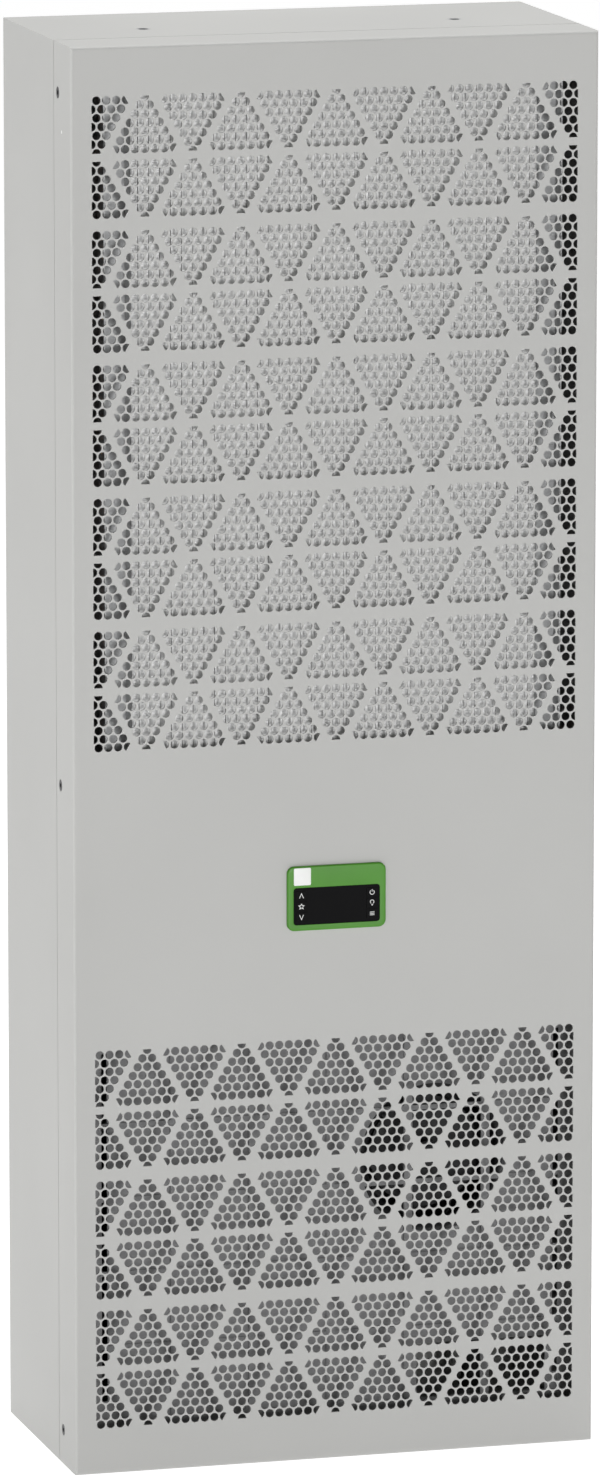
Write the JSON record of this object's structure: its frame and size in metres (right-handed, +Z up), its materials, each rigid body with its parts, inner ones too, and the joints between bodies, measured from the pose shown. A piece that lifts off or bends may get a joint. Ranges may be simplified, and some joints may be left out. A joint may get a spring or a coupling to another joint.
{
  "type": "enclosure cooling unit",
  "caption": "Tall side-mounted cooling unit for an electrical enclosure: perforated front cover, framed panel controller, radial fans, compressor, condenser and evaporator.",
  "frame": {"origin": "middle of the bounding box at the foot of the casing", "axes": "+Z up along the casing's height, -Y out of the perforated front, +Y out of the gasket side, +X to the right of a viewer who faces the front"},
  "size_m": [0.433, 0.2252, 1.152],
  "materials": {
    "casing_paint": "fine textured powder coat, satin",
    "grey_steel": "smooth matt",
    "zinc_steel": "zinc plated sheet",
    "fin_aluminium": "plain thin sheet",
    "copper": "drawn copper tube, slightly dulled",
    "black_steel": "satin black",
    "motor_steel": "coated laminated core and cast flange",
    "black_rubber": "matt",
    "black_plastic": "matt moulded",
    "green_plastic": "satin moulded",
    "black_lens": "smooth glossy",
    "black_key": "smooth"
  },
  "bodies": {
    "casing": {"front_cover": "casing_paint", "cover_rim": "casing_paint", "cover_screws": "black_steel", "left_side_panel": "casing_paint", "right_side_panel": "casing_paint", "top_panel": "casing_paint", "base_panel": "casing_paint", "back_panel": "casing_paint", "rear_gasket": "black_rubber", "mounting_inserts": "zinc_steel", "lifting_inserts": "zinc_steel", "partition_panel": "zinc_steel", "condenser_shelf": "zinc_steel", "condenser_top_baffle": "zinc_steel", "fan_panel": "grey_steel", "filter_grid": "grey_steel", "condenser_fins": "fin_aluminium", "condenser_tubes": "fin_aluminium", "condenser_left_end_plate": "zinc_steel", "condenser_right_end_plate": "zinc_steel", "evaporator_fins": "fin_aluminium", "evaporator_tubes": "copper", "evaporator_left_end_plate": "zinc_steel", "evaporator_right_end_plate": "zinc_steel", "drip_tray": "zinc_steel", "drain_hose": "black_rubber", "drain_spigot": "zinc_steel", "compressor": "black_steel", "compressor_terminal_cover": "black_plastic", "compressor_grommets": "black_rubber", "compressor_bolts": "zinc_steel", "suction_accumulator": "black_steel", "accumulator_elbow": "copper", "discharge_pipe": "copper", "liquid_line": "copper", "filter_drier": "copper", "capillary_tube": "copper", "suction_pipe": "copper", "ambient_inlet_ring": "zinc_steel", "ambient_fan_motor": "motor_steel", "ambient_fan_bracket": "zinc_steel", "enclosure_inlet_ring": "zinc_steel", "enclosure_fan_motor": "motor_steel", "enclosure_fan_bracket": "zinc_steel", "enclosure_finger_guard": "black_steel", "outlet_grille": "black_plastic", "power_connector": "black_plastic", "control_box": "zinc_steel", "control_box_lid": "zinc_steel", "controller_frame": "green_plastic", "controller_window": "black_lens", "controller_housing": "black_plastic"},
    "ambient_rotor": {"ambient_impeller": "black_plastic"},
    "enclosure_rotor": {"enclosure_impeller": "black_plastic"},
    "key_up": {"key_up": "black_key"},
    "key_defrost": {"key_defrost": "black_key"},
    "key_down": {"key_down": "black_key"},
    "key_power": {"key_power": "black_key"},
    "key_light": {"key_light": "black_key"},
    "key_menu": {"key_menu": "black_key"}
  },
  "joints": [
    {"name": "ambient_fan_spin", "type": "hinge", "parent": "casing", "child": "ambient_rotor", "pos_m": [0.0946, -0.0294, 0.2336], "axis": [0, 1, 0], "continuous": true},
    {"name": "enclosure_fan_spin", "type": "hinge", "parent": "casing", "child": "enclosure_rotor", "pos_m": [0, 0.0706, 0.985], "axis": [0, 1, 0], "continuous": true},
    {"name": "key_up_press", "type": "slide", "parent": "casing", "child": "key_up", "axis": [0, 1, 0], "range_m": [0, 0.0005], "stiffness_N_per_m": 400},
    {"name": "key_defrost_press", "type": "slide", "parent": "casing", "child": "key_defrost", "axis": [0, 1, 0], "range_m": [0, 0.0005], "stiffness_N_per_m": 400},
    {"name": "key_down_press", "type": "slide", "parent": "casing", "child": "key_down", "axis": [0, 1, 0], "range_m": [0, 0.0005], "stiffness_N_per_m": 400},
    {"name": "key_power_press", "type": "slide", "parent": "casing", "child": "key_power", "axis": [0, 1, 0], "range_m": [0, 0.0005], "stiffness_N_per_m": 400},
    {"name": "key_light_press", "type": "slide", "parent": "casing", "child": "key_light", "axis": [0, 1, 0], "range_m": [0, 0.0005], "stiffness_N_per_m": 400},
    {"name": "key_menu_press", "type": "slide", "parent": "casing", "child": "key_menu", "axis": [0, 1, 0], "range_m": [0, 0.0005], "stiffness_N_per_m": 400}
  ]
}
